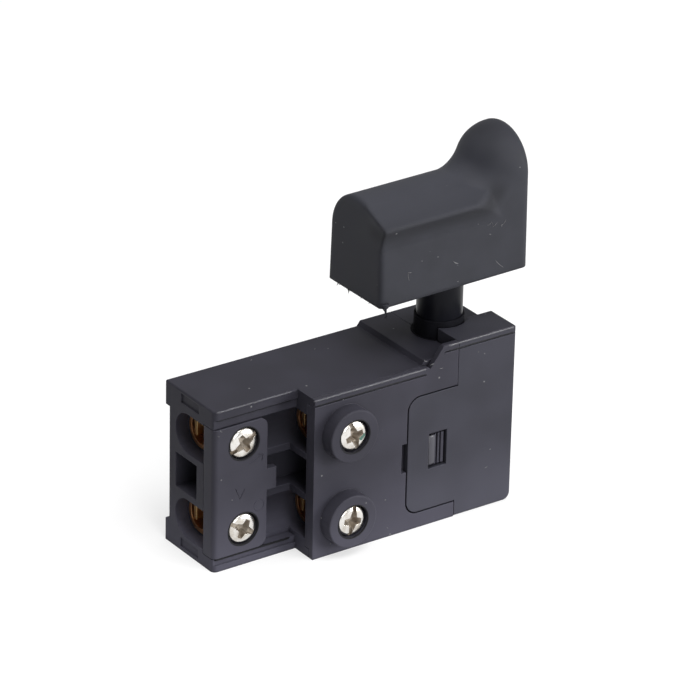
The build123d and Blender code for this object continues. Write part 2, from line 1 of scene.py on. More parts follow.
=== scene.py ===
import json
import math
import random

import bmesh
import bpy
from mathutils import Matrix, Vector


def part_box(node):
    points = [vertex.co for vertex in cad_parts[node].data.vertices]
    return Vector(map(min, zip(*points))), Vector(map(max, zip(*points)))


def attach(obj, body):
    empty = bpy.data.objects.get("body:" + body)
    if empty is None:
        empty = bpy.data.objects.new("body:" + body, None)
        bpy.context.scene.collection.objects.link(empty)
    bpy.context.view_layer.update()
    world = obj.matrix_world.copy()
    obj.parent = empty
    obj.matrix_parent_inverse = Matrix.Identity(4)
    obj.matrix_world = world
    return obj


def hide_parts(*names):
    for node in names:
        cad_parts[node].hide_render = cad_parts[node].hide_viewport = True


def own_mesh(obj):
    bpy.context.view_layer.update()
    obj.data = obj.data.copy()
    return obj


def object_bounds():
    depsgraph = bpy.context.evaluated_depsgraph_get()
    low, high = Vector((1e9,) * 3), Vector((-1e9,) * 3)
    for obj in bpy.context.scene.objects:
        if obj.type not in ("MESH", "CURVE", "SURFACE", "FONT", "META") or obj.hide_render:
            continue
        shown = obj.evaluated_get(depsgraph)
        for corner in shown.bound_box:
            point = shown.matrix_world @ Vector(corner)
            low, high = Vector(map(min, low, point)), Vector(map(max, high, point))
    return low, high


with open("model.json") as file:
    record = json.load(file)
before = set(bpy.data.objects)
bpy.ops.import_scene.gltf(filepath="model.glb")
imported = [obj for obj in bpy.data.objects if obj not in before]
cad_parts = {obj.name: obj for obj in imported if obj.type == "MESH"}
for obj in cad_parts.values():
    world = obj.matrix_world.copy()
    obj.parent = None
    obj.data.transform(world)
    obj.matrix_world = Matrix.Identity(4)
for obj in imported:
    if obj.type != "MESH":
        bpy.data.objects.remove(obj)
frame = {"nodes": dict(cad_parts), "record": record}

mm = 0.001
mmPerMetre = 1000.0
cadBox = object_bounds()
nodes = frame["nodes"]


# The camera sees the screw side and the left end.

view = {
    "aim": (-22.42, -4.95, 33.98),   # what the camera looks at, in mm
    "turn": 35.41,                   # degrees left of straight on
    "height": 25.89,                 # degrees above level
    "roll": 1.29,
    "distance": 752.1,
    "lens": 231.7,
    "shift": (0.0031, 0.0051),
}


def makeCamera():
    turn, height, roll = (math.radians(view[k]) for k in ("turn", "height", "roll"))
    back = Vector((-math.sin(turn) * math.cos(height), -math.cos(turn) * math.cos(height), math.sin(height)))
    right = Vector((math.cos(turn), -math.sin(turn), 0))
    up = back.cross(right)
    rolledRight = math.cos(roll) * right + math.sin(roll) * up
    rolledUp = -math.sin(roll) * right + math.cos(roll) * up
    data = bpy.data.cameras.new("camera")
    data.lens = view["lens"]
    data.sensor_width = 36
    data.shift_x, data.shift_y = view["shift"]
    data.clip_start = 0.01
    camera = bpy.data.objects.new("camera", data)
    place = Matrix((rolledRight, rolledUp, back)).transposed().to_4x4()
    place.translation = mm * (Vector(view["aim"]) + view["distance"] * back)
    camera.matrix_world = place
    bpy.context.collection.objects.link(camera)
    bpy.context.scene.camera = camera


# Soft boxes, a room that is dark on one side, and a white floor.

light = {
    "roomLevel": 0.62,
    "leftLevel": 0.10,                     # the room is darker on the left
    "leftWay": (-0.93, 0.2, 0.3),
    "leftFade": (0.25, 0.8),               # cosine off that way where the dark begins and where it is full
    "softboxes": [
        # name, place, size, power, all in mm and watts
        ("front_high_box", (-20, -300, 640), 400, 2.6),
        ("right_front_box", (400, -480, 170), 360, 3.5),
        ("front_fill_box", (-200, -640, 260), 300, 1.15),
        ("back_left_box", (-260, 160, 640), 360, 1.4),
    ],
    "aim": (-15, 0, 30),
    "floorColour": (0.45, 0.45, 0.45),     # what the floor throws back on the part
    "floorSeen": (0.97, 0.97, 0.97),       # what the floor looks like
    "floorGlow": 0.56,                     # share of it that shows plain white
    "floorHalf": 3.0,                      # metres
    "floorGap": 0.00002,                   # metres, so that the base doesn't flicker in it
    "backdropWhite": 1.0,
}


def makeLights():
    for name, place, size, power in light["softboxes"]:
        data = bpy.data.lights.new(name, "AREA")
        data.shape = "DISK"
        data.size = size * mm
        data.energy = power
        lamp = bpy.data.objects.new(name, data)
        lamp.location = mm * Vector(place)
        toward = mm * (Vector(light["aim"]) - Vector(place))
        lamp.rotation_euler = toward.to_track_quat("-Z", "Y").to_euler()
        bpy.context.collection.objects.link(lamp)


def makeWorld():
    world = bpy.data.worlds.new("studio")
    bpy.context.scene.world = world
    world.use_nodes = True
    tree = world.node_tree
    tree.nodes.clear()
    way = add(tree, "ShaderNodeTexCoord").outputs["Generated"]
    toLeft = along(tree, way, light["leftWay"])
    level = blend(tree, ramp(tree, toLeft, *light["leftFade"]), light["roomLevel"], light["leftLevel"])
    room = add(tree, "ShaderNodeBackground", {"Color": (1, 1, 1, 1), "Strength": level})
    backdrop = add(tree, "ShaderNodeBackground", {"Color": (1, 1, 1, 1), "Strength": light["backdropWhite"]})
    camera = add(tree, "ShaderNodeLightPath").outputs["Is Camera Ray"]
    mix = add(tree, "ShaderNodeMixShader", {0: camera, 1: room.outputs[0], 2: backdrop.outputs[0]})
    add(tree, "ShaderNodeOutputWorld", {"Surface": mix.outputs[0]})


def seenDirectly(tree):
    # 1 for the camera and for what metal and glass mirror, 0 for the light that falls on things
    path = add(tree, "ShaderNodeLightPath").outputs
    seen = maths(tree, "MAXIMUM", path["Is Camera Ray"], path["Is Glossy Ray"])
    return maths(tree, "MAXIMUM", seen, path["Is Transmission Ray"])


def makeFloor():
    half = light["floorHalf"]
    corners = [(-half, -half, 0), (half, -half, 0), (half, half, 0), (-half, half, 0)]
    mesh = bpy.data.meshes.new("floor")
    mesh.from_pydata(corners, [], [(0, 1, 2, 3)])
    floor = bpy.data.objects.new("floor", mesh)
    floor.location.z = cadBox[0][2] - light["floorGap"]
    bpy.context.collection.objects.link(floor)
    material, tree, shader = startMaterial("floor")
    seen = seenDirectly(tree)
    colour = blendColour(tree, seen, (*light["floorColour"], 1.0), (*light["floorSeen"], 1.0))
    plug(tree, shader.inputs["Base Color"], colour)
    shader.inputs["Roughness"].default_value = 0.9
    shader.inputs["Specular IOR Level"].default_value = 0.0
    white = add(tree, "ShaderNodeEmission", {"Color": (1, 1, 1, 1), "Strength": light["backdropWhite"]})
    share = maths(tree, "MULTIPLY", seen, light["floorGlow"])
    both = add(tree, "ShaderNodeMixShader", {0: share, 1: shader.outputs[0], 2: white.outputs[0]})
    tree.links.new(both.outputs[0], tree.nodes["Material Output"].inputs["Surface"])
    mesh.materials.append(material)


def plug(tree, socket, value):
    if hasattr(value, "is_output"):
        tree.links.new(value, socket)
    else:
        socket.default_value = value


def add(tree, kind, inputs=None, **settings):
    node = tree.nodes.new(kind)
    for key, value in settings.items():
        setattr(node, key, value)
    for key, value in (inputs or {}).items():
        plug(tree, node.inputs[key], value)
    return node


def maths(tree, operation, first, second=0.0, third=0.0, clamp=False):
    node = add(tree, "ShaderNodeMath", {0: first, 1: second, 2: third}, operation=operation)
    node.use_clamp = clamp
    return node.outputs[0]


def blendColour(tree, fac, first, second):
    node = add(tree, "ShaderNodeMix", data_type="RGBA")
    plug(tree, node.inputs["Factor"], fac)
    plug(tree, node.inputs[6], first)
    plug(tree, node.inputs[7], second)
    return node.outputs[2]


def blend(tree, fac, first, second):
    return add(tree, "ShaderNodeMix", {"Factor": fac, "A": first, "B": second}).outputs["Result"]


def ramp(tree, fac, low, high):
    # 0 at low and 1 at high, with soft ends; low may be the larger one
    limits = {"Value": fac, "From Min": low, "From Max": high}
    return add(tree, "ShaderNodeMapRange", limits, interpolation_type="SMOOTHSTEP").outputs["Result"]


def along(tree, place, way):
    return add(tree, "ShaderNodeVectorMath", {0: place, 1: way}, operation="DOT_PRODUCT").outputs["Value"]


def placeOn(tree):
    return add(tree, "ShaderNodeTexCoord").outputs["Object"]


def scaleFor(tree, size):
    # texture scale that gives features of this size in mm
    return maths(tree, "DIVIDE", mmPerMetre, size)


def newGroup(name, inputs, outputs):
    tree = bpy.data.node_groups.new(name, "ShaderNodeTree")
    kinds = {"value": "NodeSocketFloat", "colour": "NodeSocketColor", "vector": "NodeSocketVector"}
    for label, kind, start in inputs:
        socket = tree.interface.new_socket(name=label, in_out="INPUT", socket_type=kinds[kind])
        socket.default_value = start
    for label, kind in outputs:
        tree.interface.new_socket(name=label, in_out="OUTPUT", socket_type=kinds[kind])
    return tree, add(tree, "NodeGroupInput").outputs, add(tree, "NodeGroupOutput").inputs


def noise(tree, place, scale, detail=2.0, roughness=0.5):
    settings = {"Vector": place, "Scale": scale, "Detail": detail, "Roughness": roughness}
    return add(tree, "ShaderNodeTexNoise", settings).outputs["Fac"]


# Effects that several materials share. The sizes that they take are in mm.

def makeGrainGroup():
    # fine moulded grain over a slow waviness
    tree, given, out = newGroup(
        "mouldedGrain",
        [("Grain Size", "value", 0.2), ("Wave Size", "value", 6.0), ("Wave Share", "value", 0.5)],
        [("Height", "value"), ("Patches", "value")],
    )
    place = placeOn(tree)
    grain = noise(tree, place, scaleFor(tree, given["Grain Size"]), detail=3.0, roughness=0.6)
    wave = noise(tree, place, scaleFor(tree, given["Wave Size"]), roughness=0.45)
    tree.links.new(blend(tree, given["Wave Share"], grain, wave), out["Height"])
    tree.links.new(ramp(tree, wave, low=0.3, high=0.7), out["Patches"])
    return tree


def makeDustGroup():
    # sparse pale specks, one at most in each cell
    smallest, solidShare = 0.35, 0.6
    tree, given, out = newGroup(
        "dustSpecks",
        [("Spacing", "value", 2.0), ("Speck Size", "value", 0.16), ("Amount", "value", 0.4)],
        [("Mask", "value")],
    )
    scale = scaleFor(tree, given["Spacing"])
    cells = add(tree, "ShaderNodeTexVoronoi", {"Vector": placeOn(tree), "Scale": scale, "Randomness": 1.0})
    chance = add(tree, "ShaderNodeSeparateColor", {"Color": cells.outputs["Color"]}).outputs
    reach = maths(tree, "DIVIDE", given["Speck Size"], given["Spacing"])
    reach = maths(tree, "MULTIPLY", reach, maths(tree, "ADD", chance["Green"], smallest))
    spot = ramp(tree, cells.outputs["Distance"], reach, maths(tree, "MULTIPLY", reach, solidShare))
    kept = maths(tree, "LESS_THAN", chance["Red"], given["Amount"])
    tree.links.new(maths(tree, "MULTIPLY", spot, kept), out["Mask"])
    return tree


def makeEdgeGroup():
    # softened edges, and a mask along them for wear and painted highlight
    tree, given, out = newGroup(
        "edgeWearAndHighlight",
        [("Radius", "value", 0.2), ("Patchiness", "value", 0.5)],
        [("Mask", "value"), ("Normal", "vector")],
    )
    radius = maths(tree, "MULTIPLY", given["Radius"], mm)
    soft = add(tree, "ShaderNodeBevel", {"Radius": radius}, samples=6).outputs[0]
    flat = add(tree, "ShaderNodeNewGeometry").outputs["Normal"]
    lean = maths(tree, "SUBTRACT", 1.0, along(tree, soft, flat))
    edge = ramp(tree, lean, low=0.01, high=0.22)
    rub = ramp(tree, noise(tree, placeOn(tree), scale=420.0, detail=3.0), low=0.35, high=0.6)
    share = blend(tree, given["Patchiness"], 1.0, rub)
    tree.links.new(maths(tree, "MULTIPLY", edge, share), out["Mask"])
    tree.links.new(soft, out["Normal"])
    return tree


def makeTurnedGroup():
    # fine rings left by turning or drawing, along one axis of the object
    fullTurn = 6283.0            # two pi, for a place in metres over a pitch in mm
    tree, given, out = newGroup(
        "turnedLines",
        [("Axis", "vector", (1.0, 0.0, 0.0)), ("Pitch", "value", 0.12), ("Unevenness", "value", 0.5)],
        [("Height", "value"), ("Tarnish", "value")],
    )
    place = placeOn(tree)
    run = maths(tree, "MULTIPLY", along(tree, place, given["Axis"]), fullTurn)
    steps = maths(tree, "DIVIDE", run, given["Pitch"])
    blotch = noise(tree, place, scale=500.0, detail=3.0)
    steps = maths(tree, "ADD", steps, maths(tree, "MULTIPLY", blotch, given["Unevenness"]))
    tree.links.new(maths(tree, "SINE", steps), out["Height"])
    tree.links.new(ramp(tree, blotch, low=0.42, high=0.72), out["Tarnish"])
    return tree


def makeBounceLightGroup():
    # painted light: paler towards the bottom of the case, where the floor throws light back; the base is at
    # height 0
    fullAt, least, cloudiness = -2.0, 0.75, 0.5
    tree, given, out = newGroup(
        "paintedBounceLight",
        [("Reach", "value", 14.0), ("Amount", "value", 0.5)],
        [("Mask", "value")],
    )
    place = placeOn(tree)
    height = add(tree, "ShaderNodeSeparateXYZ", {0: place}).outputs["Z"]
    low = ramp(tree, maths(tree, "MULTIPLY", height, mmPerMetre), given["Reach"], fullAt)
    cloud = maths(tree, "MULTIPLY_ADD", noise(tree, place, scale=160.0, detail=3.0), cloudiness, least)
    film = maths(tree, "MULTIPLY", maths(tree, "MULTIPLY", low, cloud), given["Amount"], clamp=True)
    tree.links.new(film, out["Mask"])
    return tree


def makeCreaseShadeGroup():
    # painted shade: darker in grooves, seams and inner corners, the more closed in they are
    tree, given, out = newGroup(
        "paintedCreaseShade",
        [("Reach", "value", 0.6), ("Depth", "value", 0.5)],
        [("Mask", "value")],
    )
    reach = maths(tree, "MULTIPLY", given["Reach"], mm)
    openness = add(tree, "ShaderNodeAmbientOcclusion", {"Distance": reach}, samples=6).outputs["AO"]
    closed = ramp(tree, openness, low=0.85, high=0.3)
    tree.links.new(maths(tree, "MULTIPLY", closed, given["Depth"]), out["Mask"])
    return tree


# where the trigger's painted light and painted shade lie
flankLightLook = {
    # each pair runs from nothing to full, in mm
    "toFront": (1.6, -1.0),          # off the front
    "underLine": (-1.2, 1.0),        # below the line
    "litflank": (4.0, 2.2),            # away from the line
    "shadeInside": (3.1, 4.3),
    "shadeOutside": (7.0, 4.8),
    "shadeUnderLine": (0.0, 3.0),
    "tipBack": (8.5, 1.0),           # along the trigger
    "tipUp": (57.0, 62.0),           # height
}


def makeFlankLightGroup():
    # painted light on the upper flank of the trigger, and painted shade in a line under its lip; both follow
    # one straight line that ends in a half circle on the front side; the tip is the horn, made paler as
    # painted light
    tree, given, out = newGroup(
        "paintedFlankLight",
        [("Line Height", "value", 59.8), ("Line End", "value", 2.5), ("Front", "value", -4.2)],
        [("Litflank", "value"), ("Dull", "value"), ("Tip", "value")],
    )
    look = flankLightLook
    parts = add(tree, "ShaderNodeSeparateXYZ", {0: placeOn(tree)}).outputs
    x, y, z = (maths(tree, "MULTIPLY", parts[k], mmPerMetre) for k in "XYZ")
    past = maths(tree, "MAXIMUM", maths(tree, "SUBTRACT", x, given["Line End"]), 0.0)
    below = maths(tree, "SUBTRACT", given["Line Height"], z)
    squares = [maths(tree, "MULTIPLY", one, one) for one in (past, below)]
    away = maths(tree, "SQRT", maths(tree, "ADD", *squares))
    side = ramp(tree, y, *(maths(tree, "ADD", given["Front"], off) for off in look["toFront"]))
    side = maths(tree, "MULTIPLY", side, ramp(tree, below, *look["underLine"]))
    litflank = maths(tree, "MULTIPLY", ramp(tree, away, *look["litflank"]), side)
    dull = maths(tree, "MULTIPLY", *(ramp(tree, away, *look[k]) for k in ("shadeInside", "shadeOutside")))
    dull = maths(tree, "MULTIPLY", dull, ramp(tree, below, *look["shadeUnderLine"]))
    tip = maths(tree, "MULTIPLY", ramp(tree, x, *look["tipBack"]), ramp(tree, z, *look["tipUp"]))
    tree.links.new(litflank, out["Litflank"])
    tree.links.new(maths(tree, "MULTIPLY", dull, side), out["Dull"])
    tree.links.new(tip, out["Tip"])
    return tree


groups = {
    "creaseShade": makeCreaseShadeGroup(),
    "flankLight": makeFlankLightGroup(),
    "film": makeBounceLightGroup(),
    "grain": makeGrainGroup(),
    "dust": makeDustGroup(),
    "edge": makeEdgeGroup(),
    "turned": makeTurnedGroup(),
}


def useGroup(tree, name, **values):
    node = add(tree, "ShaderNodeGroup", node_tree=groups[name])
    for key, value in values.items():
        label = "".join(" " + c if c.isupper() else c for c in key).title()
        plug(tree, node.inputs[label], value)
    return node.outputs


def startMaterial(name):
    material = bpy.data.materials.new(name)
    material.use_nodes = True
    return material, material.node_tree, material.node_tree.nodes["Principled BSDF"]


def shade(colour, factor):
    return (*(min(1.0, c * factor) for c in colour), 1.0)


def addBump(tree, shader, strength, depth, **inputs):
    # depth in mm
    bump = add(tree, "ShaderNodeBump", {"Strength": strength, "Distance": depth * mm, **inputs})
    plug(tree, shader.inputs["Normal"], bump.outputs["Normal"])


plasticTones = {
    # times the plastic's own colour
    "patches": (0.9, 1.12),
    # how pale the edges get, for wear and painted highlight
    "rubbedAndHighlit": 2.6,
    # how pale the painted light from the floor makes the lower parts
    "film": 2.4,
    # how dark the painted shade in creases makes the colour
    "creaseShade": 0.25,
}

dustColour = (0.15, 0.15, 0.155, 1.0)


def mouldedPlastic(name, look):
    material, tree, shader = startMaterial(name)
    grain = useGroup(tree, "grain", grainSize=look["grain"], waveSize=look["wave"], waveShare=0.25)
    dust = useGroup(tree, "dust", spacing=look["dustSpacing"], speckSize=look["speck"], amount=look["dust"])
    edge = useGroup(tree, "edge", radius=look["edge"], patchiness=0.6)
    # painted shade in creases, seams and inner corners
    creaseShade = useGroup(tree, "creaseShade", reach=0.7, depth=0.6)
    dark, pale = (shade(look["colour"], tone) for tone in plasticTones["patches"])
    colour = blendColour(tree, grain["Patches"], dark, pale)

    def over(colour, mask, tone):
        return blendColour(tree, mask, colour, shade(look["colour"], tone))

    # paler edges: wear, and painted highlight where edges catch the light
    colour = over(colour, maths(tree, "MULTIPLY", edge["Mask"], look["wear"]), plasticTones["rubbedAndHighlit"])
    # painted light from the floor, paler towards the bottom
    if "film" in look:
        reach, amount = look["film"]
        film = useGroup(tree, "film", reach=reach, amount=amount)
        colour = over(colour, film["Mask"], plasticTones["film"])
    # painted light on the trigger's flank and horn tip, painted shade in a line under its lip
    if "litflank" in look:
        flankLight = useGroup(tree, "flankLight")
        for kind in ("litflank", "dull", "tip"):
            colour = over(colour, flankLight[kind.title()], look[kind])
    colour = over(colour, creaseShade["Mask"], plasticTones["creaseShade"])
    colour = blendColour(tree, dust["Mask"], colour, dustColour)
    plug(tree, shader.inputs["Base Color"], colour)
    plug(tree, shader.inputs["Roughness"], blend(tree, grain["Patches"], look["rough"], look["rough"] + 0.07))
    shader.inputs["Specular IOR Level"].default_value = look["shine"]
    addBump(tree, shader, look["bump"], 0.02, Height=grain["Height"], Normal=edge["Normal"])
    return material


def wroughtMetal(name, look):
    material, tree, shader = startMaterial(name)
    lines = useGroup(tree, "turned", axis=look["axis"], pitch=look["pitch"], unevenness=3.0)
    edge = useGroup(tree, "edge", radius=0.08, patchiness=0.3)
    bright = maths(tree, "MULTIPLY", edge["Mask"], 0.5)
    colour = blendColour(tree, lines["Tarnish"], (*look["colour"], 1.0), (*look["tarnish"], 1.0))
    colour = blendColour(tree, bright, colour, shade(look["colour"], 1.25))
    plug(tree, shader.inputs["Base Color"], colour)
    shader.inputs["Metallic"].default_value = 1.0
    plug(tree, shader.inputs["Roughness"], blend(tree, lines["Tarnish"], look["rough"], look["rough"] + 0.12))
    addBump(tree, shader, look["bump"], 0.01, Height=lines["Height"], Normal=edge["Normal"])
    return material


def softRubber(name, look):
    material, tree, shader = startMaterial(name)
    grain = useGroup(tree, "grain", grainSize=0.12, waveSize=2.0, waveShare=0.3)
    colour = blendColour(tree, grain["Patches"], shade(look["colour"], 0.85), shade(look["colour"], 1.3))
    plug(tree, shader.inputs["Base Color"], colour)
    plug(tree, shader.inputs["Roughness"], maths(tree, "MULTIPLY_ADD", grain["Patches"], 0.1, look["rough"]))
    shader.inputs["Specular IOR Level"].default_value = look["shine"]
    addBump(tree, shader, look["bump"], 0.01, Height=grain["Height"])
    return material


def lint(look):
    material, tree, shader = startMaterial("lint")
    uneven = ramp(tree, noise(tree, placeOn(tree), scale=2500.0), low=0.3, high=0.7)
    colour = blendColour(tree, uneven, shade(look["colour"], 0.6), shade(look["colour"], 1.2))
    plug(tree, shader.inputs["Base Color"], colour)
    shader.inputs["Roughness"].default_value = look["rough"]
    return material


def addPaint(material):
    # a small dab of thread paint over the metal of one screw
    tree = material.node_tree
    shader = tree.nodes["Principled BSDF"]
    place = placeOn(tree)
    middle = Vector(paintSpot["middle"]) * mm
    away = add(tree, "ShaderNodeVectorMath", {0: place, 1: middle}, operation="DISTANCE").outputs["Value"]
    stray, soft = paintSpot["stray"] * mm, paintSpot["soft"] * mm
    ragged = maths(tree, "MULTIPLY_ADD", noise(tree, place, scale=1800.0, detail=3.0), stray, away)
    edge = paintSpot["size"] * mm + stray / 2
    dab = ramp(tree, ragged, edge + soft, edge - soft)
    colour, rough = (shader.inputs[name].links[0].from_socket for name in ("Base Color", "Roughness"))
    plug(tree, shader.inputs["Base Color"], blendColour(tree, dab, colour, (*paintSpot["colour"], 1.0)))
    plug(tree, shader.inputs["Metallic"], maths(tree, "SUBTRACT", 1.0, dab))
    plug(tree, shader.inputs["Roughness"], blend(tree, dab, rough, paintSpot["rough"]))


plainPlastic = {
    "rough": 0.56, "shine": 0.14, "grain": 0.16, "bump": 0.25, "speck": 0.17, "edge": 0.22, "wear": 0.8,
}

plasticLooks = {
    "case_plastic": {
        **plainPlastic, "colour": (0.0260, 0.0252, 0.0340), "wave": 7.0,
        "dust": 0.35, "dustSpacing": 2.2, "film": (14.0, 1.2),
    },
    "cover_plastic": {
        **plainPlastic, "colour": (0.0315, 0.0305, 0.0405), "rough": 0.54, "wave": 8.0,
        "dust": 0.30, "dustSpacing": 2.4, "film": (16.0, 0.65),
    },
    "cap_plastic": {
        **plainPlastic, "colour": (0.0320, 0.0318, 0.0410), "wave": 9.0,
        "dust": 0.25, "dustSpacing": 2.4, "speck": 0.16, "film": (16.0, 0.5),
    },
    "trigger_plastic": {
        "colour": (0.0247, 0.0254, 0.0315), "rough": 0.58, "shine": 0.16, "grain": 0.22, "wave": 6.0,
        "bump": 0.45, "dust": 0.45, "dustSpacing": 2.0, "speck": 0.15, "edge": 1.1, "wear": 0.15,
        # tones of the painted light on the flank, the painted shade under the lip and the painted light on
        # the horn tip
        "litflank": 1.2, "dull": 0.68, "tip": 1.85,
    },
    # the stem's own dark plastic, darkened further as painted shade under the trigger
    "plunger_plastic": {
        "colour": (0.0048, 0.0050, 0.0074), "rough": 0.3, "shine": 0.1, "grain": 0.14, "wave": 5.0,
        "bump": 0.1, "dust": 0.15, "dustSpacing": 2.0, "speck": 0.12, "edge": 0.15, "wear": 0.3,
    },
    # paler and glossier than the cover plastic, for rubbed edges and painted highlight on the beads
    "bead_plastic": {
        "colour": (0.038, 0.037, 0.047), "rough": 0.30, "shine": 0.5, "grain": 0.16, "wave": 3.0,
        "bump": 0.2, "dust": 0.5, "dustSpacing": 1.4, "speck": 0.2, "edge": 0.1, "wear": 0.3,
    },
    # near black plastic for painted shadow lines, in the grooves and round the screw heads
    "groove_plastic": {
        "colour": (0.006, 0.006, 0.008), "rough": 0.6, "shine": 0.2, "grain": 0.16, "wave": 3.0,
        "bump": 0.1, "dust": 0.0, "dustSpacing": 2.0, "speck": 0.1, "edge": 0.05, "wear": 0.0,
    },
    "pusher_plastic": {
        "colour": (0.50, 0.48, 0.42), "rough": 0.35, "shine": 0.2, "grain": 0.12, "wave": 2.0,
        "bump": 0.15, "dust": 0.0, "dustSpacing": 2.0, "speck": 0.1, "edge": 0.1, "wear": 0.1,
    },
}

nickel = {
    "colour": (0.74, 0.72, 0.69), "tarnish": (0.54, 0.50, 0.44), "rough": 0.20, "bump": 0.1,
    "axis": (0.0, 1.0, 0.0), "pitch": 0.35,
}

metalLooks = {
    "screw_nickel": nickel,
    "screw_nickel_painted": nickel,
    # darker metal in the drive recess: dirt there, and painted shade
    "screw_recess": {
        "colour": (0.40, 0.36, 0.31), "tarnish": (0.20, 0.16, 0.12), "rough": 0.55, "bump": 0.3,
        "axis": (0.0, 1.0, 0.0), "pitch": 0.22,
    },
    "sleeve_brass": {
        "colour": (0.60, 0.32, 0.16), "tarnish": (0.38, 0.18, 0.08), "rough": 0.36, "bump": 0.35,
        "axis": (1.0, 0.0, 0.0), "pitch": 0.16,
    },
    "strip_brass": {
        "colour": (0.70, 0.48, 0.22), "tarnish": (0.50, 0.30, 0.13), "rough": 0.30, "bump": 0.2,
        "axis": (0.0, 0.0, 1.0), "pitch": 0.10,
    },
    "rocker_copper": {
        "colour": (0.72, 0.38, 0.24), "tarnish": (0.42, 0.20, 0.12), "rough": 0.30, "bump": 0.2,
        "axis": (0.0, 1.0, 0.0), "pitch": 0.12,
    },
    "contact_silver": {
        "colour": (0.80, 0.80, 0.78), "tarnish": (0.52, 0.50, 0.46), "rough": 0.30, "bump": 0.1,
        "axis": (0.0, 0.0, 1.0), "pitch": 0.20,
    },
    "spring_steel": {
        "colour": (0.50, 0.50, 0.52), "tarnish": (0.36, 0.35, 0.34), "rough": 0.28, "bump": 0.1,
        "axis": (0.0, 0.0, 1.0), "pitch": 0.08,
    },
}

paintSpot = {
    "screw": "load_screw_upper",
    "middle": (-24.75, -12.7, 22.55),
    "size": 0.75,
    "stray": 1.2,            # how ragged its outline is
    "soft": 0.1,
    "colour": (0.04, 0.105, 0.08),
    "rough": 0.35,
}

lintLook = {"colour": (0.13, 0.13, 0.135), "rough": 0.8}

rubberLooks = {"seal_rubber": {"colour": (0.0055, 0.0055, 0.0075), "rough": 0.75, "shine": 0.06, "bump": 0.3}}

materials = {name: mouldedPlastic(name, look) for name, look in plasticLooks.items()}
materials |= {name: wroughtMetal(name, look) for name, look in metalLooks.items()}
materials |= {name: softRubber(name, look) for name, look in rubberLooks.items()}
materials["lint"] = lint(lintLook)
addPaint(materials["screw_nickel_painted"])
print("materials made:", len(materials))


def finishNodes():
    slots = {part["node"]: part["material_slot"] for part in frame["record"]["subparts"]}
    for name, obj in nodes.items():
        for slot in obj.material_slots:
            slot.material = materials[slots[name]]


# Meshes are built in mm and made smaller at the end.

toMetres = Matrix.Scale(mm, 4)


def boxOf(name):
    return (Vector(corner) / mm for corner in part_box(name))


def fullCircle(sides):
    return [2 * math.pi * i / sides for i in range(sides + 1)]


def newPiece(name, mesh, material, body):
    mesh.name = name
    for one in material if isinstance(material, list) else [material]:
        mesh.materials.append(one)
    piece = bpy.data.objects.new(name, mesh)
    bpy.context.collection.objects.link(piece)
    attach(piece, body)
    return piece


def ringOf(bm, radiusAt, height, sides):
    corners = []
    for i in range(sides):
        angle = 2 * math.pi * i / sides
        radius = radiusAt(angle)
        corners.append(bm.verts.new((radius * math.cos(angle), radius * math.sin(angle), height)))
    return corners


def joinRings(bm, first, second):
    count = len(first)
    for i in range(count):
        bm.faces.new((first[i], first[(i + 1) % count], second[(i + 1) % count], second[i]))


def turned(bm, profile, sides):
    # a closed body of revolution about Z; the profile runs from top centre to bottom centre
    top = bm.verts.new((0, 0, profile[0][1]))
    rings = [ringOf(bm, lambda angle, r=radius: r, height, sides) for radius, height in profile[1:-1]]
    bottom = bm.verts.new((0, 0, profile[-1][1]))
    for i in range(sides):
        bm.faces.new((top, rings[0][i], rings[0][(i + 1) % sides]))
        bm.faces.new((bottom, rings[-1][(i + 1) % sides], rings[-1][i]))
    for upper, lower in zip(rings, rings[1:]):
        joinRings(bm, lower, upper)


def stacked(bm, sections):
    # closed body through outlines with the same number of corners, listed from top to bottom
    rings = [[bm.verts.new(corner) for corner in section] for section in sections]
    for upper, lower in zip(rings, rings[1:]):
        joinRings(bm, lower, upper)
    bm.faces.new(rings[0])
    bm.faces.new(rings[-1][::-1])


def strand(bm, points, radii, sides=6):
    # a thin round strand through the points, with flat ends
    slant = Vector((0.3, 0.2, 0.93))          # no strand here runs this way
    turn = fullCircle(sides)[:-1]
    rings = []
    for i, point in enumerate(points):
        ahead = points[min(i + 1, len(points) - 1)] - points[max(i - 1, 0)]
        across = ahead.cross(slant).normalized()
        over = ahead.cross(across).normalized()
        corners = [point + radii[i] * (math.cos(t) * across + math.sin(t) * over) for t in turn]
        rings.append([bm.verts.new(corner) for corner in corners])
    for first, second in zip(rings, rings[1:]):
        joinRings(bm, first, second)
    bm.faces.new(rings[0][::-1])
    bm.faces.new(rings[-1])


def meshFrom(bm, place=None, sharp=35):
    if place is not None:
        bmesh.ops.transform(bm, matrix=place, verts=bm.verts)
    bmesh.ops.recalc_face_normals(bm, faces=bm.faces)
    mesh = bpy.data.meshes.new("piece")
    bm.to_mesh(mesh)
    bm.free()
    mesh.shade_smooth()
    mesh.set_sharp_from_angle(angle=math.radians(sharp))
    return mesh


def cutAway(bm, cutters):
    # takes the cutters out of the body one after the other
    body = bpy.data.objects.new("blank", meshFrom(bm))
    bpy.context.collection.objects.link(body)
    tools = []
    for cutter in cutters:
        tool = bpy.data.objects.new("cutter", meshFrom(cutter))
        bpy.context.collection.objects.link(tool)
        cut = body.modifiers.new("cut", "BOOLEAN")
        cut.operation = "DIFFERENCE"
        cut.solver = "EXACT"
        cut.object = tool
        tools.append(tool)
    bpy.context.view_layer.update()
    result = bpy.data.meshes.new_from_object(body.evaluated_get(bpy.context.evaluated_depsgraph_get()))
    for thing in [body, *tools]:
        bpy.data.objects.remove(thing)
    return result


# Terminal screws: pan heads with a slot and a cross, and a cut thread.

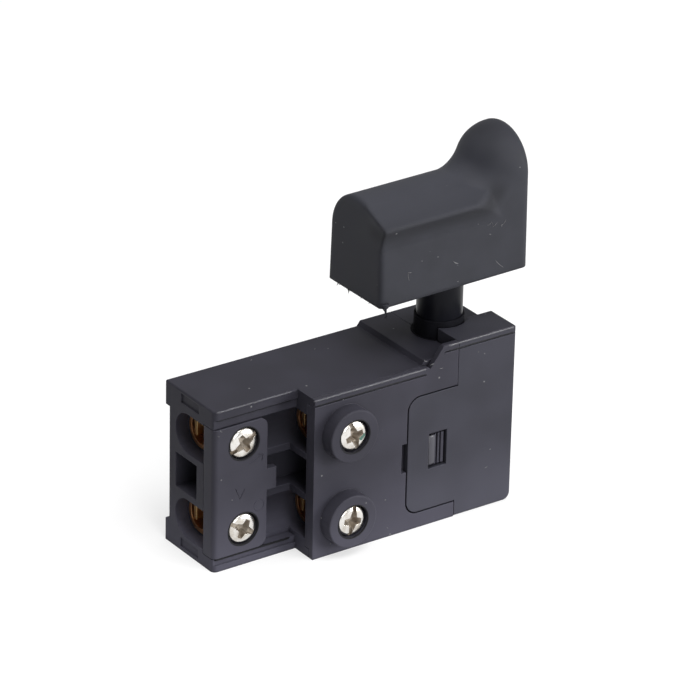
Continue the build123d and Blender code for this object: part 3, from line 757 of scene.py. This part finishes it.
screwLook = {
    # radius and height from the crown down to the seat
    "headProfile": [
        (0, 2.02), (0.7, 2.01), (1.3, 1.98), (1.8, 1.92), (2.2, 1.82), (2.48, 1.69), (2.67, 1.52),
        (2.80, 1.3), (2.85, 1.0), (2.85, 0.1), (2.78, 0.0), (0, 0.0),
    ],
    "headSides": 72,
    "crown": 2.02,
    "slotWidth": 0.82,
    "slotDepth": 0.72,
    "slotFlare": (1.15, 0.85),             # share of the width above the crown and on the floor
    "crossReach": 1.85,
    "crossWidth": 0.98,
    "crossWeb": 0.74,                      # how far the corners between the arms stand from the middle
    "crossDepth": 1.45,
    "crossFlare": (1.12, 0.45),
    "shankRadius": 1.5,
    "shankSides": 32,
    "threadDepth": 0.27,
    "threadPitch": 0.5,
    "stepsPerTurn": 6,
    "tipLength": 0.6,
    "tipCut": 0.45,                        # how much thinner the tip gets
    "lift": {"line": 0.3, "load": 0.35},   # how far the crown stands proud of the plain head
}

# How the faces of the drive are told from those of the head.
driveLimits = {
    "floor": 0.3,
    "skin": 0.02,                          # under the crown
    "rim": 2.8,
    "steepRim": 2.6,
    "steep": 0.55,
    "sunk": 0.08,                          # under the dome
}

screwTurns = {
    "line_screw_lower": -31,
    "line_screw_upper": 29,
    "load_screw_lower": 80,
    "load_screw_upper": -74,
}


def slotCutter():
    half, crown = screwLook["slotWidth"] / 2, screwLook["crown"]
    wide, narrow = screwLook["slotFlare"]
    above, reach = 1, 4.0

    def section(height, width):
        corners = ((-reach, -width), (reach, -width), (reach, width), (-reach, width))
        return [(x, y, height) for x, y in corners]

    bm = bmesh.new()
    stacked(bm, [section(crown + above, half * wide), section(crown - screwLook["slotDepth"], half * narrow)])
    return bm


def crossCutter():
    crown = screwLook["crown"]
    reach, half, web = screwLook["crossReach"], screwLook["crossWidth"] / 2, screwLook["crossWeb"]
    wide, narrow = screwLook["crossFlare"]
    above = 0.4

    def section(height, scale):
        corners = []
        for arm in range(4):
            turn = Matrix.Rotation(arm * math.pi / 2, 3, "Z")
            for x, y in ((reach, -half), (reach, half), (web, web)):
                corner = turn @ Vector((x, y, 0)) * scale
                corners.append((corner.x, corner.y, height))
        return corners

    bm = bmesh.new()
    stacked(bm, [section(crown + above, wide), section(crown - screwLook["crossDepth"], narrow)])
    return bm


def threadedShank(bm, length):
    pitch, depth = screwLook["threadPitch"], screwLook["threadDepth"]
    steps = int(length / pitch * screwLook["stepsPerTurn"])
    rings = []
    for step in range(steps + 1):
        height = -length * step / steps
        point = max(0.0, 1 - (length + height) / screwLook["tipLength"]) * screwLook["tipCut"]

        def radiusAt(angle, height=height, point=point):
            phase = (height / pitch + angle / (2 * math.pi)) % 1
            return screwLook["shankRadius"] - depth * abs(2 * phase - 1) - point

        rings.append(ringOf(bm, radiusAt, height, screwLook["shankSides"]))
    for upper, lower in zip(rings, rings[1:]):
        joinRings(bm, lower, upper)
    bm.faces.new(rings[0])
    bm.faces.new(rings[-1][::-1])


def inRecess(face):
    # inside the rim, and either steep or below the dome
    limits = driveLimits
    middle = face.calc_center_median()
    spread = math.hypot(middle.x, middle.y)
    if not limits["floor"] < middle.z < screwLook["crown"] - limits["skin"] or spread >= limits["rim"]:
        return False
    steep = face.normal.z < limits["steep"] and spread < limits["steepRim"]
    return steep or middle.z < domeHeight(spread) - limits["sunk"]


def domeHeight(radius):
    profile = screwLook["headProfile"]
    for (r0, h0), (r1, h1) in zip(profile, profile[1:]):
        if r0 <= radius <= r1:
            return h0 + (h1 - h0) * (radius - r0) / max(r1 - r0, 1e-6)
    return 0.0


def makeScrew(name):
    low, high = boxOf(name)
    headTop = low.y - screwLook["lift"][name.split("_")[0]]
    seat = headTop + screwLook["crown"]
    blank = bmesh.new()
    turned(blank, screwLook["headProfile"], screwLook["headSides"])
    head = cutAway(blank, [slotCutter(), crossCutter()])
    bm = bmesh.new()
    bm.from_mesh(head)
    bpy.data.meshes.remove(head)
    bm.normal_update()
    # faces of the drive take the darker metal: dirt and painted shade in the recess
    for face in bm.faces:
        face.material_index = 1 if inRecess(face) else 0
    threadedShank(bm, high.y - seat)
    outward = Matrix(((1, 0, 0), (0, 0, -1), (0, 1, 0))).to_4x4()
    place = Matrix.Translation(mm * Vector(((low.x + high.x) / 2, seat, (low.z + high.z) / 2)))
    place = place @ toMetres @ outward @ Matrix.Rotation(math.radians(screwTurns[name]), 4, "Z")
    finish = "screw_nickel_painted" if name == paintSpot["screw"] else "screw_nickel"
    mesh = meshFrom(bm, place, 28)
    piece = newPiece(name + "_detailed", mesh, [materials[finish], materials["screw_recess"]], name)
    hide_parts(name)


# The return spring: a helix of round wire that fills the box of its part.

springLook = {"turns": 9.5, "wire": 0.45, "stepsPerTurn": 24, "stroke": 6.0}


def makeReturnSpring():
    low, high = boxOf("return_spring")
    wire = springLook["wire"]
    middle = (low.x + high.x) / 2
    radius = (high.x - low.x - wire) / 2
    steps = round(springLook["turns"] * springLook["stepsPerTurn"])
    points = []
    for i in range(steps + 1):
        angle = 2 * math.pi * i / springLook["stepsPerTurn"]
        rise = low.z + wire / 2 + (high.z - low.z - wire) * i / steps
        points.append(Vector((middle + radius * math.cos(angle), radius * math.sin(angle), rise)))
    bm = bmesh.new()
    strand(bm, points, [wire / 2] * len(points), 10)
    spring = newPiece("return_spring_wound", meshFrom(bm, toMetres, 80), materials["spring_steel"], "case")
    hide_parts("return_spring")
    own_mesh(spring)


# Small moulded marks, each a strand half sunk in the terminal cover.

marks = {
    # x and height of each corner on the face
    "arrowHead": [(-44.57, 14.7), (-43.74, 12.6), (-42.76, 14.2)],
    "pointer": [(-41.8, 18.8), (-39.3, 19.8)],
    "pointerBarb": [(-40.2, 20.05), (-39.2, 19.8), (-39.4, 18.7)],
    "ringAt": (-39.9, 10.4),
    "ringRadius": 1.0,
    "ringSides": 28,
    "lineRadius": 0.13,
    "ringLine": 0.8,        # its thickness against the other lines
    "depth": 0.04,          # how far the middle of a line lies under the face
}


def makeMarks():
    low, _ = boxOf("terminal_cover")
    face = low.y + marks["depth"]
    bm = bmesh.new()
    for name in ("arrowHead", "pointer", "pointerBarb"):
        points = [Vector((x, face, z)) for x, z in marks[name]]
        strand(bm, points, [marks["lineRadius"]] * len(points))
    x, z = marks["ringAt"]
    radius = marks["ringRadius"]
    around = fullCircle(marks["ringSides"])
    ring = [Vector((x + radius * math.cos(t), face, z + radius * math.sin(t))) for t in around]
    strand(bm, ring, [marks["lineRadius"] * marks["ringLine"]] * len(ring))
    newPiece("moulded_marks", meshFrom(bm, toMetres), materials["case_plastic"], "case")


# Raised beads catch the light along three edges. The dark strands are painted shadow in the grooves.

beads = {
    # start, end, radius, finish, how uneven
    # the beads' paler plastic adds painted highlight along them
    "front_cover_bead": ((-32.6, -9.84, 29.76), (-9.6, -9.84, 29.76), 0.25, "bead_plastic", 0.16),
    "block_bead": ((-5.4, -9.84, 32.96), (8.7, -9.84, 32.96), 0.25, "bead_plastic", 0.16),
    # dark strands of painted shadow in the grooves
    "front_cover_groove_shadow": ((-32.3, -9.8, 28.85), (-9.5, -9.8, 28.85), 0.27, "groove_plastic", 0.12),
    "block_groove_shadow": ((-5.5, -9.8, 32.05), (8.6, -9.8, 32.05), 0.27, "groove_plastic", 0.12),
    "terminal_rim_bead": ((-48.6, -4.78, 29.8), (-33.4, -4.78, 29.8), 0.2, "bead_plastic", 0.25),
    "terminal_low_groove_shadow": ((-48.6, -4.66, 2.2), (-33.4, -4.66, 2.2), 0.2, "groove_plastic", 0.2),
    "terminal_rim_groove_shadow": ((-48.4, -4.62, 28.22), (-33.4, -4.62, 28.22), 0.2, "groove_plastic", 0.2),
}

beadShape = {"step": 0.35, "stray": 0.12, "endShare": 0.3, "sides": 10, "seed": 11}

nibFace = {
    "left": -8.72, "right": -7.35, "low": 11.35, "high": 16.85, "front": -9.98,
    "round": 0.25,
    # depth and inset of each outline, times the rounding
    "outlines": ((0.0, 1.0), (0.3, 0.3), (1.0, 0.0), (2.6, 0.0)),
}


def makeBeads():
    chance = random.Random(beadShape["seed"])
    for name, (start, end, radius, finish, uneven) in beads.items():
        start, end = Vector(start), Vector(end)
        count = int((end - start).length / beadShape["step"])
        stray = beadShape["stray"] * uneven
        points, radii = [], []
        for i in range(count + 1):
            aside = Vector((0, chance.uniform(-1, 1), chance.uniform(-1, 1)))
            points.append(start.lerp(end, i / count) + stray * aside)
            endShare = beadShape["endShare"] if i in (0, count) else 1
            radii.append(radius * (1 - uneven * chance.random()) * endShare)
        bm = bmesh.new()
        strand(bm, points, radii, beadShape["sides"])
        newPiece(name, meshFrom(bm, toMetres, 80), materials[finish], "case")


screwRimShadow = {"radius": 3.06, "thickness": 0.15, "depth": 0.09, "sides": 48}


def makeScrewRimShadows():
    # painted shadow: a dark ring round each sunk screw head, where the gap lies in shade
    bm = bmesh.new()
    for name in screwTurns:
        low, high = boxOf(name)
        plate, _ = boxOf("terminal_cover" if name.startswith("line") else "front_cover")
        middle = Vector(((low.x + high.x) / 2, plate.y + screwRimShadow["depth"], (low.z + high.z) / 2))
        around = fullCircle(screwRimShadow["sides"])
        points = [middle + screwRimShadow["radius"] * Vector((math.cos(t), 0, math.sin(t))) for t in around]
        strand(bm, points, [screwRimShadow["thickness"]] * len(points))
    newPiece("screw_rim_shadows", meshFrom(bm, toMetres, 80), materials["groove_plastic"], "case")


def makeNibFace():
    # the worn flat of the catch that shows in the clip's window
    sections = []
    for depth, inset in nibFace["outlines"]:
        y, inset = nibFace["front"] + depth * nibFace["round"], inset * nibFace["round"]
        left, right = nibFace["left"] + inset, nibFace["right"] - inset
        low, high = nibFace["low"] + inset, nibFace["high"] - inset
        sections.append([(left, y, low), (right, y, low), (right, y, high), (left, y, high)])
    bm = bmesh.new()
    stacked(bm, sections)
    newPiece("clip_nib_face", meshFrom(bm, toMetres, 50), materials["bead_plastic"], "case")


flash = {
    # where it starts on the trigger's lower edge, which way it points, length and thickness
    "burrs": [
        ((-17.5, 5.2, 41.75), (-0.3, 0.1, -0.7), 0.8, 0.16),
        ((-17.5, 4.6, 41.75), (-0.5, 0.4, -0.4), 0.6, 0.1),
        ((-17.5, 2.2, 41.75), (-0.2, -0.3, -0.8), 1.0, 0.18),
        ((-17.5, 1.5, 41.75), (-0.4, 0.5, -0.3), 0.7, 0.1),
        ((-17.5, -1.6, 41.75), (-0.3, 0.2, -0.5), 0.4, 0.12),
        ((-17.5, -4.0, 41.75), (-0.4, 0.1, -0.4), 0.45, 0.1),
        ((-16.8, -7.5, 42.3), (0.05, -0.1, -1.0), 1.5, 0.85),
        ((-16.8, -7.6, 41.9), (0.1, -0.1, -1.0), 2.6, 0.3),
        ((-16.8, -7.6, 40.4), (-0.7, 0.1, -0.6), 0.8, 0.1),
        ((-16.7, -7.6, 40.3), (0.8, 0.1, -0.4), 0.8, 0.1),
    ],
    "steps": 6,
    "stray": 0.05,                # share of the length
    "thinning": (0.95, 1.4),      # how much is gone at the tip, and how late
    "unevenness": (0.85, 1.15),
    "seed": 5,
}


def makeFlash():
    # thin flakes that the mould left along the edge
    chance = random.Random(flash["seed"])
    steps = flash["steps"]
    gone, late = flash["thinning"]
    bm = bmesh.new()
    for start, way, length, thick in flash["burrs"]:
        step = Vector(way).normalized() * length / (steps - 1)
        points = [Vector(start) - step]
        for _ in range(steps):
            aside = Vector([chance.uniform(-1, 1) for _ in range(3)])
            points.append(points[-1] + step + flash["stray"] * length * aside)
        radii = [
            thick * (1.0 - gone * i / steps) ** late * chance.uniform(*flash["unevenness"])
            for i in range(steps + 1)
        ]
        strand(bm, points, radii, 7)
    newPiece("moulding_flash", meshFrom(bm, toMetres, 60), materials["trigger_plastic"], "plunger")


awayFromFace = {"x": Vector((-1, 0, 0)), "y": Vector((0, -1, 0)), "z": Vector((0, 0, 1))}

fibreShape = {"steps": 6, "sides": 5, "endShare": 0.35, "lift": 0.25}

fibres = {
    # face, start, end, bow and thickness of each, by the body it lies on
    "plunger": [
        ("y", (-12.1, -7.25, 47.3), (-11.8, -7.25, 45.7), 0.15, 0.05),
        ("y", (-12.1, -7.25, 47.3), (-11.4, -7.25, 47.1), 0.1, 0.05),
        ("y", (6.1, -7.25, 45.0), (7.8, -7.25, 43.3), 0.12, 0.045),
        ("y", (-2.8, -7.25, 47.0), (-1.7, -7.25, 46.3), 0.1, 0.08),
        ("y", (4.0, -7.27, 52.0), (4.9, -7.27, 52.4), 0.2, 0.03),
        ("y", (4.9, -7.27, 52.4), (5.3, -7.27, 51.4), -0.1, 0.03),
        ("y", (5.3, -7.27, 51.4), (6.1, -7.27, 52.1), 0.1, 0.03),
        ("y", (6.8, -7.27, 51.2), (8.0, -7.27, 52.2), 0.25, 0.03),
        ("y", (7.6, -7.27, 51.5), (7.0, -7.27, 50.9), 0.1, 0.03),
        ("y", (2.0, -7.25, 52.7), (2.25, -7.25, 52.6), 0.0, 0.06),
        ("y", (-9.45, -7.25, 48.7), (-9.2, -7.25, 48.6), 0.0, 0.07),
        ("y", (-6.2, -7.25, 48.6), (-5.9, -7.25, 48.6), 0.0, 0.07),
        ("y", (4.6, -7.25, 50.2), (4.9, -7.25, 50.1), 0.0, 0.07),
        ("x", (-17.6, -5.4, 51.1), (-17.6, -5.1, 51.2), 0.0, 0.06),
    ],
    "case": [
        ("y", (-10.3, -10.0, 31.7), (-9.6, -10.0, 31.2), 0.1, 0.07),
        ("y", (-8.9, -10.0, 30.3), (-8.2, -10.0, 30.4), -0.12, 0.07),
        ("y", (-7.0, -10.0, 29.3), (-6.3, -10.0, 29.2), 0.1, 0.06),
        ("y", (-17.7, -10.0, 7.2), (-17.4, -10.0, 7.3), 0.0, 0.07),
        ("y", (-17.1, -10.0, 1.9), (-16.8, -10.0, 1.6), 0.05, 0.06),
        ("y", (-26.9, -10.0, 28.6), (-26.6, -10.0, 28.7), 0.0, 0.06),
        ("y", (4.2, -10.0, 10.8), (4.5, -10.0, 10.9), 0.0, 0.07),
        ("y", (3.3, -10.0, 7.5), (3.9, -10.0, 7.7), 0.05, 0.06),
        ("y", (1.0, -10.0, 30.2), (1.2, -10.0, 30.3), 0.0, 0.06),
        ("y", (-47.8, -4.9, 26.6), (-47.4, -4.9, 26.1), 0.15, 0.05),
        ("y", (-48.3, -4.9, 25.6), (-47.9, -4.9, 25.4), 0.1, 0.05),
        ("y", (-45.5, -4.9, 12.9), (-45.2, -4.9, 12.8), 0.0, 0.07),
        ("z", (-21.5, 6.1, 30.0), (-21.2, 6.2, 30.0), 0.0, 0.07),
        ("z", (-33.1, 8.4, 30.0), (-32.6, 8.6, 30.0), 0.1, 0.05),
    ],
}


def makeFibres():
    # short fibres and coarse specks of dust that lie on the faces
    steps, endShare = fibreShape["steps"], fibreShape["endShare"]
    for body, found in fibres.items():
        bm = bmesh.new()
        for side, start, end, bow, thick in found:
            start, end = Vector(start), Vector(end)
            sideways = (end - start).cross(awayFromFace[side]).normalized() * bow
            lift = awayFromFace[side] * thick * fibreShape["lift"]
            points, radii = [], []
            for i in range(steps + 1):
                t = i / steps
                arch = 4 * t * (1 - t)
                points.append(start.lerp(end, t) + sideways * arch + lift)
                radii.append(thick * (endShare + (1 - endShare) * arch))
            strand(bm, points, radii, fibreShape["sides"])
        newPiece("fibres_on_" + body, meshFrom(bm, toMetres, 60), materials["lint"], body)


bpy.context.scene.view_settings.view_transform = "Standard"
makeCamera()
makeLights()
makeWorld()
makeFloor()
print("camera, light and floor are set")
finishNodes()
print("finishes are on", len(nodes), "solids")
for screwName in screwTurns:
    makeScrew(screwName)
print("terminal screws are cut")
makeReturnSpring()
print("return spring is wound")
makeMarks()
makeBeads()
makeNibFace()
makeScrewRimShadows()
makeFlash()
makeFibres()
print("marks, flash and fibres are on")
